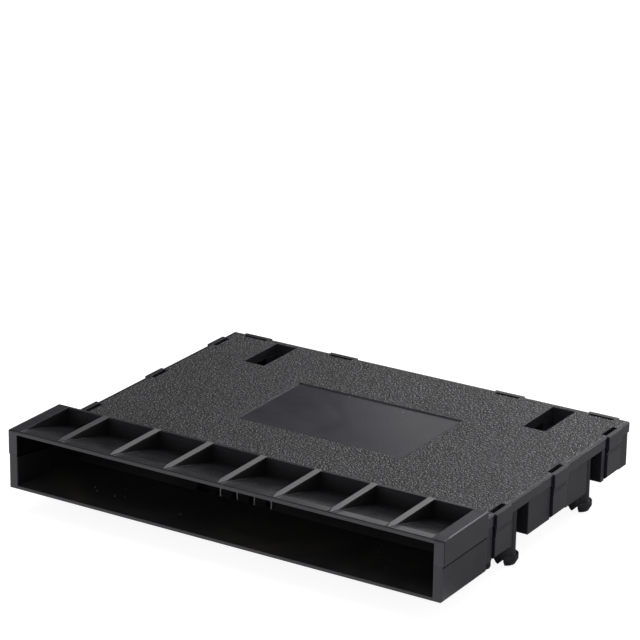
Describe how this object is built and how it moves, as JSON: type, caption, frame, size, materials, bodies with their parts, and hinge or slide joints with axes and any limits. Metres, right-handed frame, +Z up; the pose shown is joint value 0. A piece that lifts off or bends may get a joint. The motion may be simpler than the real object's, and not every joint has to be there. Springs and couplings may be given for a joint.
{
  "type": "smart card socket",
  "caption": "Card reader socket for a circuit board: wide funnel mouth, flat cover snapped onto a base, spring contacts with through-hole tails, card switch, split snap pegs.",
  "frame": {"origin": "centre of the outline seen from above, at the height of the tips of the tails", "axes": "+X across the card mouth to the right as seen from the mouth, +Y the way the card goes in, +Z up from the board; the board's top face is the plane Z = 3.2 mm"},
  "size_m": [0.0636, 0.0514, 0.0115],
  "materials": {
    "base_plastic": "moulded black plastic with a fine spark-eroded grain",
    "cover_plastic": "moulded dark grey plastic, pebbled top with a smooth recessed panel",
    "tin_plate": "bright tin plate over copper alloy",
    "gold_plate": "gold flash over copper alloy"
  },
  "bodies": {
    "root": {"base_housing": "base_plastic", "top_cover": "cover_plastic", "front_contact_1": "tin_plate", "front_contact_2": "tin_plate", "front_contact_3": "tin_plate", "front_contact_4": "tin_plate", "rear_contact_1": "tin_plate", "rear_contact_2": "tin_plate", "rear_contact_3": "tin_plate", "rear_contact_4": "tin_plate", "switch_leaf": "gold_plate", "switch_blade": "gold_plate"}
  },
  "joints": []
}
